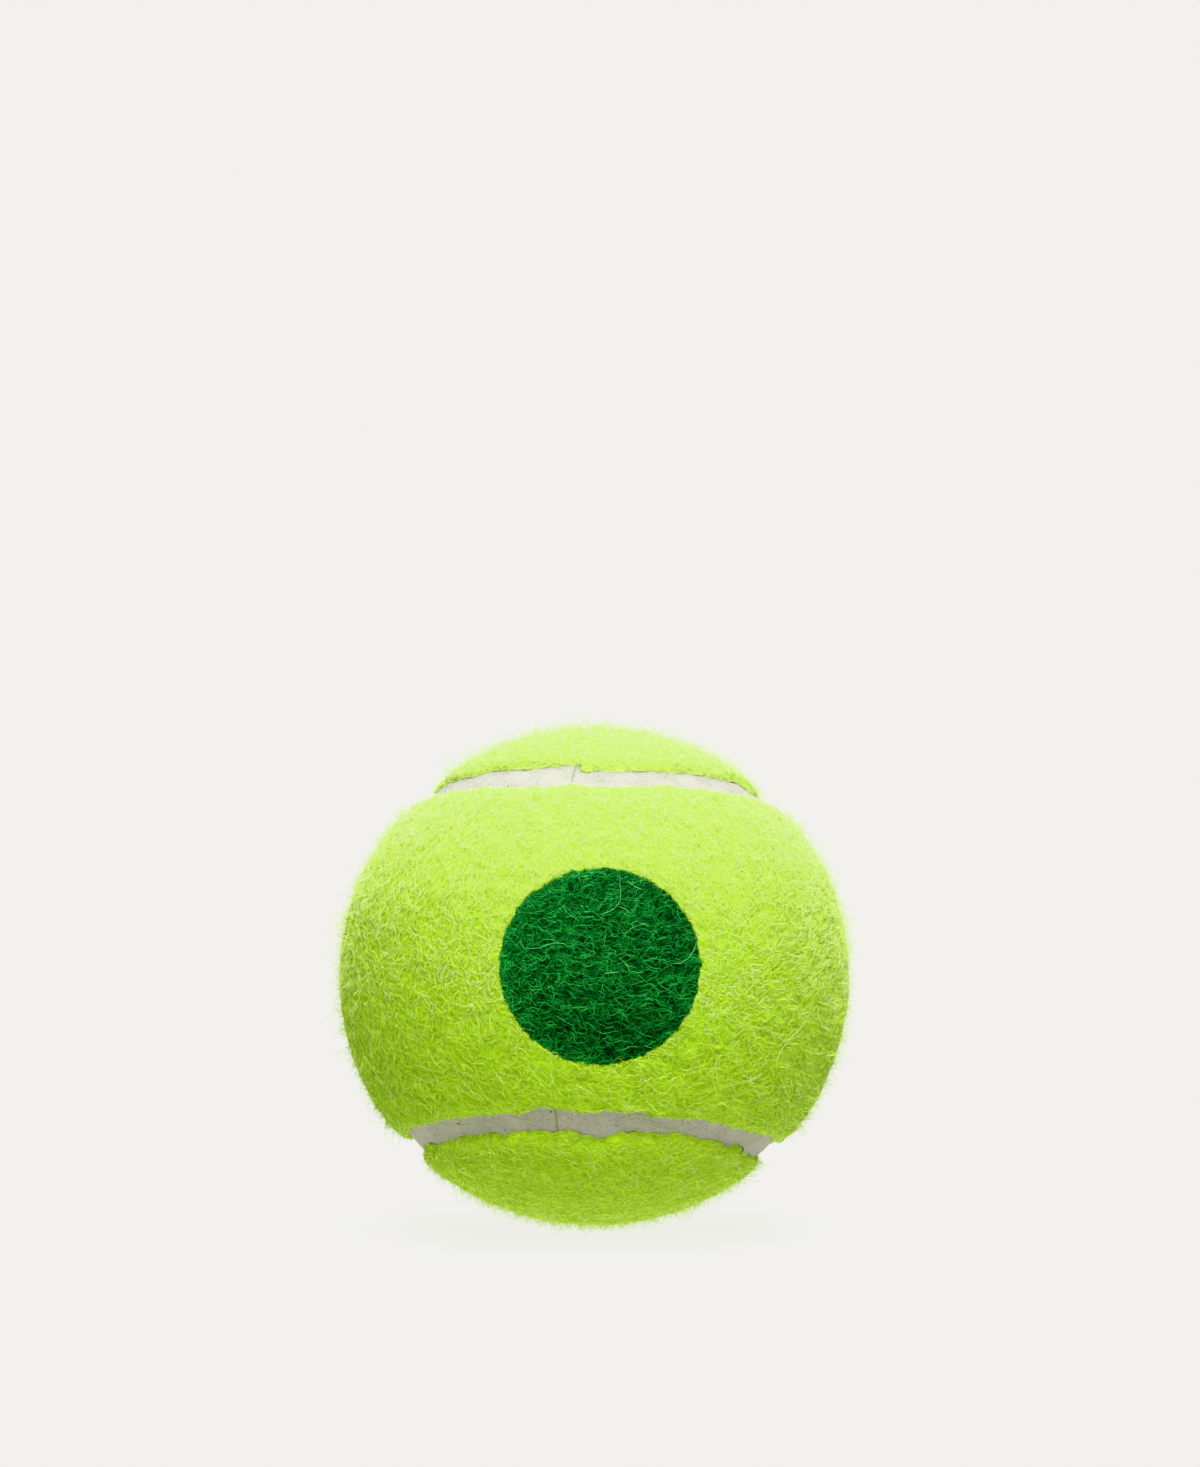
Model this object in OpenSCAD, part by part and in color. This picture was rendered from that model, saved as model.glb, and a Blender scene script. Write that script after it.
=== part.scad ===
// Felt-covered training tennis ball with a plain green spot.
// Two dog-bone felt panels over a two-piece cemented rubber core.
// Units are millimetres. The origin is the centre of the ball, +Z is up,
// and -Y is the side that carries the spot.

/* [Ball] */
// Diameter over the nap
ball_diameter = 66; // [66:0.1:66]
// Thickness of the rubber core wall
core_wall = 3; // [2.8:0.1:3.6]

/* [Cover] */
// Thickness of the woven backing cloth
cloth_thickness = 0.9; // [0.8, 0.9, 1]
// Height of the nap above the cloth
nap_height = 1.8; // [1.6, 1.8, 2]
// Thickness of each cement film
film = 0.15; // [0.12, 0.15, 0.18]
// Half the width of a panel at its waist, in degrees seen from the centre
waist_half_angle = 43; // [42.4, 42.8, 43]

/* [Seam] */
// Width of the rubbery seam between the two panels
seam_width = 3.2; // [3.2, 3.6]
// Depth of the seam below the top of the nap
seam_recess = 1.4; // [1.4:0.1:1.4]
// Width of the fine mould line across the seam
mould_line_width = 0.5; // [0.3:0.1:0.8]
// Height of that line
mould_line_height = 0.12; // [0.08:0.02:0.2]

/* [Spot] */
// Diameter of the printed spot, along the surface
spot_diameter = 24.6; // [18:0.2:28]
// Depth that the spot's ink soaks into the nap
spot_depth = 0.3; // [0.2:0.05:0.5]

/* [Build] */
// Sub-part to draw

/* [Hidden] */
$fn = 96;

// Radii of the layers, from the nap inwards
r_nap = ball_diameter / 2;
r_cloth = r_nap - nap_height;
r_back = r_cloth - cloth_thickness;
r_coat = r_back - film;
r_core = r_coat - film;
r_hollow = r_core - core_wall;
r_seam = r_nap - seam_recess;

// The seam is four circular arcs of one size, joined without a kink. Each
// has its own axis. The axes of the arcs round the lobes of panel A lean
// down by dip, and those round the lobes of panel B lean up by dip.
reach = 90 - waist_half_angle;
dip = atan((sqrt(0.5) - cos(reach)) / sin(reach));
arc_half_angle = reach - dip;
arc_half_span = 90 + atan(sin(dip));

// Angle from the middle of the seam to the edge of the backing cloth
cloth_gap = asin(seam_width / 2 / r_seam);
// Rounding of the top edge of the nap, where it rolls down to the seam
roll = seam_recess * 1.1;
roll_gap = cloth_gap + asin(roll / r_seam) * 0.93;
big = 2 * r_nap;

// How the ball lies: the waist of the panel with the spot is at the front,
// a little above the middle and to the left
module lay_ball()
    rotate([-4.1, 0, 0]) rotate([0, 0.97, 0]) rotate([-7.98, 0, 0])
        rotate([0, 0, -4.4]) rotate([-90, 0, 0]) rotate([0, 0, -90])
            children();

// Puts the axis of a solid of revolution on arc axis k. Arcs 0 and 2 go
// round the lobes of panel A, and arcs 1 and 3 round those of panel B.
module on_arc(k)
    rotate([0, 0, 90 * k]) mirror([0, 0, k % 2]) rotate([0, 90 + dip, 0])
        children();

// Panel B is panel A turned by a quarter and reflected
module as_panel_b() rotate([0, 0, 90]) mirror([0, 0, 1]) children();

module ball_shell(r0, r1)
    difference() {
        sphere(r = r1);
        sphere(r = r0);
    }

// Profiles: x is the distance from the axis and y the height along it
module slice(a0, a1, reach_r = big)
    polygon([
        [0, 0],
        [reach_r * sin(a0), reach_r * cos(a0)],
        [reach_r * sin(a1), reach_r * cos(a1)]
    ]);

module ring(r0, r1)
    difference() {
        circle(r = r1);
        circle(r = r0);
    }

// The side of the seam that a panel's nap fills, with the middle of the seam
// along the y axis. Its top edge rolls down to the seam.
module nap_side(gap)
    union() {
        slice(roll_gap, 60);
        intersection() {
            slice(gap, roll_gap + 0.5);
            circle(r = r_seam + 0.02);
        }
        intersection() {
            slice(gap, roll_gap + 0.5);
            translate([
                (r_nap - roll) * sin(roll_gap), (r_nap - roll) * cos(roll_gap)
            ]) circle(r = roll * 1.02);
        }
    }

module square_groove(out = 0)
    intersection() {
        ring(r_core - 1 - out, r_nap + 2 + out);
        slice(-cloth_gap, cloth_gap);
    }

module rolled_groove(out = 0)
    difference() {
        intersection() {
            ring(r_core - 1 - out, r_nap + 2 + out);
            slice(-roll_gap - 0.8, roll_gap + 0.8);
        }
        nap_side(cloth_gap);
        mirror([1, 0]) nap_side(cloth_gap);
    }

// Carries a groove's profile round the four arcs of the seam. A round plug,
// a hair wider than the groove, joins each arc to the next.
module round_seam(rolled = false) {
    for (k = [0:3])
        on_arc(k)
            rotate([0, 0, -arc_half_span + 0.4])
                rotate_extrude(angle = 2 * arc_half_span - 0.8)
                    rotate([0, 0, -arc_half_angle])
                        if (rolled) rolled_groove();
                        else square_groove();
    for (k = [0:3])
        rotate([0, 0, 90 * k + 45]) rotate([0, 90, 0])
            rotate_extrude()
                intersection() {
                    rotate([0, 0, -0.3])
                        if (rolled) rolled_groove(0.3);
                        else square_groove(0.3);
                    translate([0, -big]) square([big, 2 * big]);
                }
}

// Panel B's waist, out to the groove
module waist_b()
    difference() {
        mirror([0, 0, 1])
            rotate_extrude()
                intersection() {
                    ring(r_core / 2, r_nap + 5);
                    slice(0, 82);
                }
        for (k = [0, 2])
            on_arc(k)
                rotate_extrude() slice(0, arc_half_angle + 0.6);
    }

// One layer of panel A: a ball's shell less the groove, and less the two
// lobes and the waist of panel B. The faces that part the two panels run
// inside the groove.
module panel_layer(r0, r1, rolled = false)
    difference() {
        difference() {
            difference() {
                ball_shell(r0, r1);
                round_seam(rolled);
            }
            for (k = [1, 3])
                on_arc(k)
                    cylinder(
                        r = (r0 + r1) / 2 * sin(arc_half_angle) * 0.985,
                        h = big
                    );
        }
        waist_b();
    }

module spot_disc(r0, r1)
    rotate([0, 0, 1.3]) rotate([85, 0, 0])
        rotate_extrude()
            intersection() {
                ring(r0, r1);
                slice(0, spot_diameter / 2 / r_nap * 180 / PI);
            }

module half_core(side)
    rotate([0, 90 * side, 0])
        rotate_extrude()
            intersection() {
                ring(r_hollow, r_core);
                translate([0, film]) square([big, big]);
            }

module core_half_left() color([0.16, 0.16, 0.17]) half_core(-1);

module core_half_right() color([0.16, 0.16, 0.17]) half_core(1);

// Fills the joint between the half shells and leaves a bead inside
module core_joint_cement()
    color([0.55, 0.5, 0.42])
        rotate([0, 90, 0])
            rotate_extrude()
                union() {
                    intersection() {
                        ring(r_hollow - 0.2, r_core);
                        translate([0, -film]) square([big, 2 * film]);
                    }
                    intersection() {
                        translate([r_hollow, 0]) circle(r = 0.6);
                        circle(r = r_hollow);
                    }
                }

module core_cement_coat() color([0.62, 0.6, 0.5]) ball_shell(r_core, r_coat);

module back_cement_a()
    color([0.7, 0.68, 0.56]) lay_ball() panel_layer(r_coat, r_back);

module back_cement_b()
    color([0.7, 0.68, 0.56])
        lay_ball() as_panel_b() panel_layer(r_coat, r_back);

module backing_cloth_a()
    color([0.83, 0.85, 0.72])
        lay_ball() panel_layer(r_back, r_cloth);

module backing_cloth_b()
    color([0.83, 0.85, 0.72])
        lay_ball() as_panel_b() panel_layer(r_back, r_cloth);

module felt_nap_a()
    color([0.72, 0.9, 0.25]) lay_ball() panel_layer(r_cloth, r_nap, true);

module felt_nap_b()
    color([0.72, 0.9, 0.25])
        difference() {
            lay_ball() as_panel_b() panel_layer(r_cloth, r_nap, true);
            spot_disc(r_nap - spot_depth, r_nap + 1);
        }

// The edge coats of the two panels, run together into one band. Where the
// mould closes, it leaves a fine raised line across the band.
module seam_rubber()
    color([0.8, 0.8, 0.72])
        difference() {
            lay_ball()
                intersection() {
                    ball_shell(r_coat, r_seam + mould_line_height);
                    union() round_seam();
                }
            difference() {
                ball_shell(r_seam, r_seam + 2);
                rotate([0, 0, -8.8]) rotate([0, 0.75, 0])
                    cube([mould_line_width, 2 * big, 2 * big], center = true);
            }
        }

module printed_spot()
    color([0.02, 0.4, 0.16]) spot_disc(r_nap - spot_depth, r_nap);

core_half_left();
core_half_right();
core_joint_cement();
core_cement_coat();
back_cement_a();
back_cement_b();
backing_cloth_a();
backing_cloth_b();
felt_nap_a();
felt_nap_b();
seam_rubber();
printed_spot();
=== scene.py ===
import math

import bpy
import numpy as np
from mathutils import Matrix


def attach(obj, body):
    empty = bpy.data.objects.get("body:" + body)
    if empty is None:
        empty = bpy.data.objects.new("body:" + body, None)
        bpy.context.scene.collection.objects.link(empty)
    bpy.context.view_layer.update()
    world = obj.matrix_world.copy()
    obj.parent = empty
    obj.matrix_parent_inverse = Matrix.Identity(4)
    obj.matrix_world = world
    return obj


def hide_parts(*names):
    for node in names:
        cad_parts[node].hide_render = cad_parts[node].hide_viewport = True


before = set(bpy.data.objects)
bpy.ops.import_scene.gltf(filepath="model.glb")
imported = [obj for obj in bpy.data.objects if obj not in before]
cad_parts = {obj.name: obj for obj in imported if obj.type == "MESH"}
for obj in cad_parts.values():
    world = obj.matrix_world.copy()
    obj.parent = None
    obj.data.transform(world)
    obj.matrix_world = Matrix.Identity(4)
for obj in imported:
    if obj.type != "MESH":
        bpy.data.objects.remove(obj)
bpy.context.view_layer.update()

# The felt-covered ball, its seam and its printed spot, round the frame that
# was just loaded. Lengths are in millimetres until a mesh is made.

MM = 0.001
BALL = 33.0  # radius over the nap
FELT = 32.12  # radius of the matted felt, under its loose fibres
BAND = 31.6  # radius of the seam's rubber
CLOTH = 30.62  # radius of the cloth under the felt
WAIST = 43.0  # half the width of a panel at its waist, in degrees
SPOT = math.degrees(12.3 / BALL)  # half the spot's width, in degrees
EDGE_IN = 0.05  # how far inside its wool a panel's cut side stands
DENSITY = 1.0

scene = bpy.context.scene


# ---------------------------------------------------------------- geometry

def turn(axis, degrees):
    a = math.radians(degrees)
    c, s = math.cos(a), math.sin(a)
    return np.array({
        "x": [[1, 0, 0], [0, c, -s], [0, s, c]],
        "y": [[c, 0, s], [0, 1, 0], [-s, 0, c]],
        "z": [[c, -s, 0], [s, c, 0], [0, 0, 1]],
    }[axis])


# How the ball lies
LAY = (turn("x", -4.1) @ turn("y", 0.97) @ turn("x", -7.98)
       @ turn("z", -4.4) @ turn("x", -90) @ turn("z", -90))

# The seam is four circular arcs of one size: 0 and 2 go round the lobes of
# panel A, and 1 and 3 round those of panel B
reach = math.radians(90 - WAIST)
dip = math.atan((math.sqrt(0.5) - math.cos(reach)) / math.sin(reach))
arc_angle = reach - dip
arc_span = math.pi / 2 + math.atan(math.sin(dip))
ARCS = []
for arc in range(4):
    out = np.array([math.cos(arc * math.pi / 2), math.sin(arc * math.pi / 2), 0])
    up = np.array([0, 0, -1 if arc % 2 == 0 else 1])
    axis = math.cos(dip) * out + math.sin(dip) * up
    tip = math.cos(dip) * up - math.sin(dip) * out
    ARCS.append([LAY @ v for v in (axis, tip, np.cross(axis, tip))])


def unit(v):
    return v / np.linalg.norm(v, axis=-1, keepdims=True)


def smooth(x, a, b):
    t = np.clip((x - a) / (b - a), 0, 1)
    return t * t * (3 - 2 * t)


class Waves:
    """A smooth random field: a sum of plane waves of about one wavelength."""

    def __init__(self, seed, wavelength, count=26):
        g = np.random.default_rng(seed)
        k = unit(g.normal(size=(count, 3)))
        self.k = k * (2 * np.pi / (wavelength * g.uniform(0.75, 1.35, (count, 1))))
        self.phase = g.uniform(0, 2 * np.pi, count)

    def __call__(self, p):
        total = np.zeros(p.shape[:-1])
        for k, phase in zip(self.k, self.phase):
            total += np.sin(p @ k + phase)
        return total * math.sqrt(2 / len(self.phase))


edge_slow, edge_fast = Waves(11, 4.6), Waves(12, 1.5)
edge_fine = Waves(13, 0.75)
puff, grain = Waves(21, 3.4), Waves(22, 1.25)
lie_slow, lie_fast = Waves(31, 19.0), Waves(32, 6.5)
tuft = Waves(41, 2.3)
band_slow, band_fast = Waves(51, 3.0), Waves(52, 0.8)

# How far the felt's edge stands from the middle of the seam, in mm, by the
# angle along the two arcs that show at the front. Elsewhere it is USUAL.
USUAL = 1.5
EDGES = {
    (0, "a"): [(-78, 2.35), (-65, 2.75), (-53, 2.21), (-50.4, 2.53), (-47.8, 2.33), (-45.2, 2.13),
               (-42.6, 2.25), (-40, 2.54), (-37.4, 2.75), (-34.8, 2.86), (-32.2, 2.74),
               (-29.6, 2.71), (-27, 2.62), (-24.4, 2.55), (-21.8, 2.39), (-19.2, 2.4),
               (-16.6, 2.52), (-14, 2.69), (-11.4, 2.74), (-8.8, 2.8), (-6.2, 2.79), (-3.6, 2.81),
               (-2.1, 2.81), (-1.3, 1.09), (1.6, 1.09), (4.2, 1.46), (6.8, 1.46), (9.4, 1.39),
               (12, 1.36), (14.6, 1.39), (17.2, 1.66), (19.8, 1.76), (22.4, 1.93), (25, 1.83),
               (27.6, 2.06), (30.2, 1.91), (32.8, 2.22), (35.4, 2.57), (38, 2.5), (40.6, 2.53),
               (43.2, 2.38), (45.8, 2.31), (48.4, 2.46), (51, 2.59), (53.6, 2.29), (56.2, 2.36),
               (64, 2.94), (72, 2.34)],
    (0, "b"): [(-76, 1.4), (-56, 1.3), (-50, 1.6), (-45, 1.37), (-42.4, 1.61), (-39.8, 1.76),
               (-37.2, 1.83), (-34.6, 1.74), (-32, 1.55), (-29.4, 1.7), (-26.8, 2.06),
               (-24.2, 2.24), (-21.6, 2.17), (-19, 2.25), (-16.4, 2.34), (-13.8, 2.32),
               (-11.2, 2.64), (-8.6, 2.38), (-6, 2.37), (-3.4, 1.9), (-0.8, 2.21), (1.8, 2.52),
               (4.4, 2.48), (7, 2.59), (9.6, 2.51), (12.2, 2.52), (14.8, 2.36), (17.4, 2.14),
               (20, 2.1), (22.6, 1.83), (25.2, 1.43), (27.8, 1.76), (30.4, 1.89), (33, 1.98),
               (35.6, 1.67), (38.2, 1.53), (40.8, 1.62), (43.4, 1.61), (46, 1.57), (48.6, 1.5),
               (53, 1.58), (60, 1.27), (76, 1.63)],
    (2, "a"): [(-91, 2.3), (-80.6, 2.42), (-75.4, 2.54), (-72.8, 2.64), (-65, 1.54),
               (-62.4, 1.76), (-59.8, 2.44), (-52, 1.69), (-49.4, 1.68), (-46.8, 1.87),
               (-44.2, 1.92), (-41.6, 1.76), (-39, 1.43), (-36.4, 1.35), (-33.8, 1.33),
               (-31.2, 1.24), (-28.6, 1.7), (-26, 1.93), (-23.4, 1.51), (-20.8, 1.69),
               (-18.2, 1.81), (-15.6, 1.63), (-13, 2.01), (-10.4, 2.51), (-7.8, 2.82),
               (-5.2, 2.69), (-2.6, 2.44), (-0, 2.23), (2.6, 1.76), (5.2, 1.78), (7.8, 2.08),
               (10.4, 1.79), (13, 1.63), (15.6, 1.5), (18.2, 1.7), (20.8, 1.77), (23.4, 1.93),
               (26, 2.02), (28.6, 1.75), (31.2, 1.44), (33.8, 1.66), (36.4, 1.9), (39, 1.86),
               (41.6, 1.66), (44.2, 1.75), (46.8, 1.82), (49.4, 1.96), (52, 2.02), (54.6, 2.11),
               (57.2, 2.18), (62.4, 2.14), (65, 2.07), (67.6, 1.94)],
    (2, "b"): [(-78, 1.4), (-66, 1.01), (-63.4, 0.93), (-60.8, 1.08), (-58.2, 1.03),
               (-55.6, 1.02), (-53, 0.93), (-50.4, 1.08), (-47.8, 1.43), (-45.2, 1.37),
               (-42.6, 1.35), (-40, 1.48), (-37.4, 1.63), (-34.8, 1.38), (-32.2, 1.31),
               (-29.6, 1.28), (-27, 1.31), (-24.4, 1.22), (-21.8, 1.53), (-19.2, 1.8),
               (-16.6, 1.71), (-14, 1.4), (-11.4, 1.71), (-8.8, 1.85), (-6.2, 1.58), (-3.6, 1.44),
               (-1, 1.56), (1.6, 1.73), (4.2, 1.88), (6.8, 2.04), (9.4, 2.32), (12, 2.04),
               (14.6, 1.47), (17.2, 1.34), (19.8, 1.4), (22.4, 1.57), (25, 1.54), (27.6, 1.31),
               (30.2, 1.42), (32.8, 1.56), (35.4, 1.43), (38, 1.37), (40.6, 1.49), (43.2, 1.36),
               (45.8, 1.44), (48.4, 1.45), (51, 1.38), (53.6, 1.35), (56, 1.31), (75, 1.98)],
}


def seam(p):
    """Where points lie by the seam: the distance to its middle in mm, more
    than 0 in panel A, the arc, and the angle along that arc in degrees."""
    q = unit(p)
    best = np.full(q.shape[:-1], 9.0)
    side = np.zeros_like(best)
    which = np.zeros(best.shape, int)
    along = np.zeros_like(best)
    for n, (axis, tip, across) in enumerate(ARCS):
        off = arc_angle - np.arccos(np.clip(q @ axis, -1, 1))
        a = np.arctan2(q @ across, q @ tip)
        ok = (np.abs(a) <= arc_span + 1e-6) & (np.abs(off) < best)
        best = np.where(ok, np.abs(off), best)
        side = np.where(ok, off if n % 2 == 0 else -off, side)
        which = np.where(ok, n, which)
        along = np.where(ok, a, along)
    return side * BAND, which, np.degrees(along)


def move_across(p, distance, which):
    """Points moved across the seam by a distance in mm, towards panel A."""
    r = np.linalg.norm(p, axis=-1, keepdims=True)
    q = p / r
    axes = np.array([a[0] for a in ARCS])[which]
    sign = np.where(which % 2 == 0, -1.0, 1.0)
    angle = np.arccos(np.clip((q * axes).sum(-1), -1, 1))
    away = unit(q - axes * np.cos(angle)[..., None])
    angle = angle + sign * distance / BAND
    return r * (axes * np.cos(angle)[..., None] + away * np.sin(angle)[..., None])


def edge(p, which, along, panel):
    """Distance from the middle of the seam to the edge of a panel's felt."""
    e = np.full(which.shape, USUAL)
    for n in (0, 2):
        t = np.array(EDGES[(n, panel)], float)
        e = np.where(which == n, np.interp(along, t[:, 0], t[:, 1], USUAL, USUAL), e)
    q = unit(p) * BAND
    seed = 0.0 if panel == "a" else 37.0
    return (e + 0.05 * edge_slow(q + seed) + 0.09 * edge_fast(q + seed)
            + 0.09 * edge_fine(q + seed))


def depth(p, panel):
    """How far points are inside a panel's felt, in mm, and their arc."""
    s, which, along = seam(p)
    e = edge(p, which, along, panel)
    return (s - e if panel == "a" else -s - e), which


def squat(p):
    """How much lower the ball's skin is, near its top and its bottom."""
    z = unit(p)[..., 2] * BALL
    return (0.60 * smooth(z, 10, 26) + 0.18 * smooth(z, 25, 33)
            + 0.30 * smooth(-z, 15, 28) + 0.18 * smooth(-z, 26, 33))


def felt_radius(p, f, panel):
    """Radius of the matted felt at a depth f inside its panel."""
    if panel == "a":
        lip = 0.72 * np.exp(-np.maximum(f, 0) / 0.42) + 0.28 * (1 - smooth(f, 0, 2.6))
    else:
        lip = 0.40 * np.exp(-f / 0.25) + 0.60 * (1 - smooth(f, 0, 4.2))
    q = unit(p) * BALL
    ruffle = (0.05 * puff(q) + 0.02 * grain(q)) * smooth(f, -0.1, 1.2)
    r = FELT - (FELT - BAND) * lip - squat(p) + ruffle
    return np.maximum(r, CLOTH + 0.12)


SPOT_AXIS = unit(turn("z", 1.3) @ turn("x", 85) @ np.array([0.0, 0, 1]))
spot_side = unit(np.cross(SPOT_AXIS, [0, 0, 1.0]))
spot_up = np.cross(spot_side, SPOT_AXIS)
spot_edge = Waves(61, 1.1)


def in_spot(p):
    """More than 0 inside the printed spot, in degrees from its edge."""
    q = unit(p)
    a = np.degrees(np.arccos(np.clip(q @ SPOT_AXIS, -1, 1)))
    return spot_limit(q) - a


def spot_limit(q):
    """The spot's half width towards each point. It is a little wider than high."""
    x, y = q @ spot_side, q @ spot_up
    oval = np.sqrt((x ** 2 + y ** 2) / ((x / 1.012) ** 2 + (y / 0.99) ** 2 + 1e-12))
    return SPOT * oval + 0.13 * spot_edge(q * BALL)


# ---------------------------------------------------------------- meshes

def mesh_object(name, verts, faces, uv=None, smooth_faces=True):
    """A mesh of one kind or several of faces, each an array of corners."""
    groups = [np.asarray(f, np.int64) for f in (faces if isinstance(faces, list) else [faces])]
    me = bpy.data.meshes.new(name)
    loops = np.concatenate([g.ravel() for g in groups])
    totals = np.concatenate([np.full(len(g), g.shape[1]) for g in groups])
    starts = np.concatenate([[0], np.cumsum(totals)[:-1]])
    me.vertices.add(len(verts))
    me.vertices.foreach_set("co", (np.asarray(verts) * MM).astype(np.float32).ravel())
    me.loops.add(len(loops))
    me.loops.foreach_set("vertex_index", loops.astype(np.int32))
    me.polygons.add(len(totals))
    me.polygons.foreach_set("loop_start", starts.astype(np.int32))
    if uv is not None:
        layer = me.uv_layers.new(name="OFBake")
        layer.data.foreach_set("uv", np.asarray(uv, np.float32).ravel())
    me.update(calc_edges=True)
    me.polygons.foreach_set("use_smooth", np.full(len(totals), smooth_faces))
    ob = bpy.data.objects.new(name, me)
    scene.collection.objects.link(ob)
    return ob


def finish_piece(ob, material, slot, *nodes):
    ob.data.materials.append(material)
    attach(ob, "root")
    if nodes:
        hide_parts(*nodes)
    return ob


def ball_grid(n):
    """Unit vectors and quads of a cube's grid blown up to a ball."""
    t = np.tan(np.radians(np.linspace(-45, 45, n + 1)))
    u, v = np.meshgrid(t, t, indexing="ij")
    one = np.ones_like(u)
    sides = [(one, u, v), (-one, v, u), (v, one, u), (u, -one, v), (u, v, one), (v, u, -one)]
    pts = unit(np.concatenate([np.stack(s, -1).reshape(-1, 3) for s in sides]))
    i, j = np.meshgrid(np.arange(n), np.arange(n), indexing="ij")
    a = (i * (n + 1) + j).ravel()
    quad = np.stack([a, a + n + 1, a + n + 2, a + 1], 1)
    quads = np.concatenate([quad + k * (n + 1) ** 2 for k in range(6)])
    _, first, back = np.unique(np.round(pts, 6), axis=0, return_index=True, return_inverse=True)
    pts, quads = pts[first], back.reshape(-1)[quads]
    middle = pts[quads].mean(1)
    normal = np.cross(pts[quads[:, 2]] - pts[quads[:, 0]], pts[quads[:, 3]] - pts[quads[:, 1]])
    flip = (normal * middle).sum(1) < 0
    quads[flip] = quads[flip][:, ::-1]
    return pts, quads


def closed_layer(name, panel, n, start, outer, inner):
    """A panel's layer as a closed shell, from start mm inside the felt's edge."""
    pts, quads = ball_grid(n)
    f, which = depth(pts * BAND, panel)
    quads = quads[(f[quads] > start).any(1)]
    used, quads = np.unique(quads, return_inverse=True)
    quads = quads.reshape(-1, 4)
    p, f, which = pts[used] * BAND, f[used], which[used]
    low = f < start
    toward = 1.0 if panel == "a" else -1.0
    for _ in range(4):
        p[low] = move_across(p[low], toward * (start - f[low]), which[low])
        f[low] = depth(p[low], panel)[0]
    q = unit(p)
    top = q * outer(q, f)[:, None]
    bottom = q * inner(q, f)[:, None]
    m = len(top)
    edges = np.concatenate([quads[:, [k, (k + 1) % 4]] for k in range(4)])
    key = np.sort(edges, 1)
    _, first, count = np.unique(key[:, 0] * m + key[:, 1], return_index=True, return_counts=True)
    rim = edges[first[count == 1]]
    wall = np.stack([rim[:, 1], rim[:, 0], rim[:, 0] + m, rim[:, 1] + m], 1)
    faces = np.concatenate([quads, quads[:, ::-1] + m, wall])
    ob = mesh_object(name, np.concatenate([top, bottom]), faces)
    round_off = np.ones(len(faces), bool)
    round_off[2 * len(quads):] = False
    ob.data.polygons.foreach_set("use_smooth", round_off)
    return ob


# Each fibre is a thin closed tube with three sides and a point at each end
STEPS = np.array([0, 0.18, 0.5, 0.82, 1.0])


def tubes(name, paths, radii, colour, seed, sides=3):
    """One mesh of many fibres. paths is (fibres, points, 3), radii is
    (fibres, points), and colour, from 0 to 1, picks each one's shade."""
    g = np.random.default_rng(seed)
    count, k, _ = paths.shape
    along = np.empty_like(paths)
    along[:, 1:-1] = paths[:, 2:] - paths[:, :-2]
    along[:, 0] = paths[:, 1] - paths[:, 0]
    along[:, -1] = paths[:, -1] - paths[:, -2]
    along = along / np.maximum(np.linalg.norm(along, axis=-1, keepdims=True), 1e-9)
    out = unit(paths)
    across = np.cross(out, along)
    across /= np.maximum(np.linalg.norm(across, axis=-1, keepdims=True), 1e-9)
    out = np.cross(along, across)
    spin = g.uniform(0, 2 * np.pi, (count, 1, 1))
    rings = []
    for s in range(sides):
        a = spin + 2 * np.pi * s / sides
        rings.append(paths[:, 1:-1] + radii[:, 1:-1, None]
                     * (out[:, 1:-1] * np.cos(a) + across[:, 1:-1] * np.sin(a)))
    ring = np.stack(rings, 2)  # fibres, rings, sides, 3
    n = k - 2
    per = 2 + n * sides
    verts = np.concatenate([paths[:, :1], ring.reshape(count, n * sides, 3), paths[:, -1:]], 1)
    quads, quad_uv, tris, tri_uv = [], [], [], []
    t = np.linspace(0.03, 0.97, k)
    for s in range(sides):
        s1 = (s + 1) % sides
        u0, u1 = s / sides, (s + 1) / sides
        tris.append([0, 1 + s1, 1 + s])
        tri_uv.append([(u0 + u1) / 2, t[0], u1, t[1], u0, t[1]])
        last = 1 + (n - 1) * sides
        tris.append([per - 1, last + s, last + s1])
        tri_uv.append([(u0 + u1) / 2, t[-1], u0, t[-2], u1, t[-2]])
        for r in range(n - 1):
            a, b = 1 + r * sides, 1 + (r + 1) * sides
            quads.append([a + s, a + s1, b + s1, b + s])
            quad_uv.append([u0, t[r + 1], u1, t[r + 1], u1, t[r + 2], u0, t[r + 2]])
    base = (np.arange(count) * per)[:, None, None]
    faces = [(np.array(tris)[None] + base).reshape(-1, 3), (np.array(quads)[None] + base).reshape(-1, 4)]
    wide = 0.008
    start = 0.004 + np.clip(colour, 0, 1)[:, None, None] * (1 - wide - 0.008)
    uvs = []
    for table, corners in ((tri_uv, 3), (quad_uv, 4)):
        w = np.array(table, float).reshape(1, -1, 2) * [wide, 1.0]
        w = np.broadcast_to(w, (count,) + w.shape[1:]).copy()
        w[..., :1] += start
        uvs.append(w.reshape(-1, 2))
    return mesh_object(name, verts.reshape(-1, 3), faces, np.concatenate(uvs))


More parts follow.
